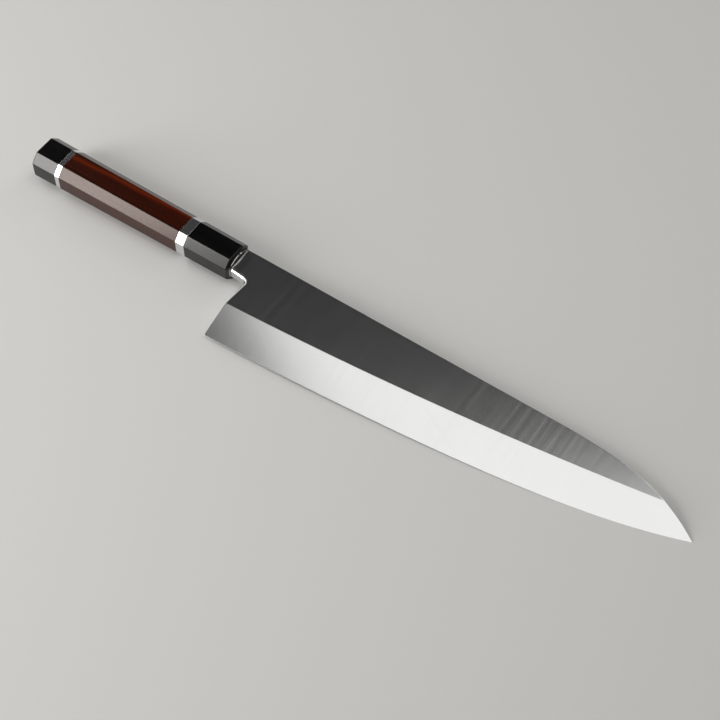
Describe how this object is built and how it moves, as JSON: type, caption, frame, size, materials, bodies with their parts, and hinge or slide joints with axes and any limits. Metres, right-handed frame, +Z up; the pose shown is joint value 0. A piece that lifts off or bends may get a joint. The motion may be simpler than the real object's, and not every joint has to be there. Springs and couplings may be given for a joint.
{
  "type": "deba knife",
  "caption": "Long single-bevel fish knife with an octagonal rosewood handle, black horn ferrule and butt cap, and slim nickel silver rings.",
  "frame": {"origin": "on the surface that the knife lies on, under the middle of its bounding box", "axes": "+X runs from the butt to the tip, +Y from the cutting edge to the spine, +Z up out of the bevelled side; the knife lies as it settles on a table, on its ferrule and on the edge near the tip"},
  "size_m": [0.4328, 0.0596, 0.0223],
  "materials": {
    "blade_steel": "ground and polished carbon steel with fine cross scratches",
    "nickel_silver": "polished nickel silver",
    "rosewood": "dark red-brown rosewood, polished and oiled",
    "horn": "polished black horn",
    "dowel_wood": "plain turned hardwood, hidden inside the handle",
    "resin": "dark clear resin"
  },
  "bodies": {
    "root": {"blade": "blade_steel", "tang_seal": "resin", "ferrule": "horn", "front_ring": "nickel_silver", "handle_body": "rosewood", "rear_ring": "nickel_silver", "butt_cap": "horn", "core_dowel": "dowel_wood", "cap_dowel": "dowel_wood"}
  },
  "joints": []
}
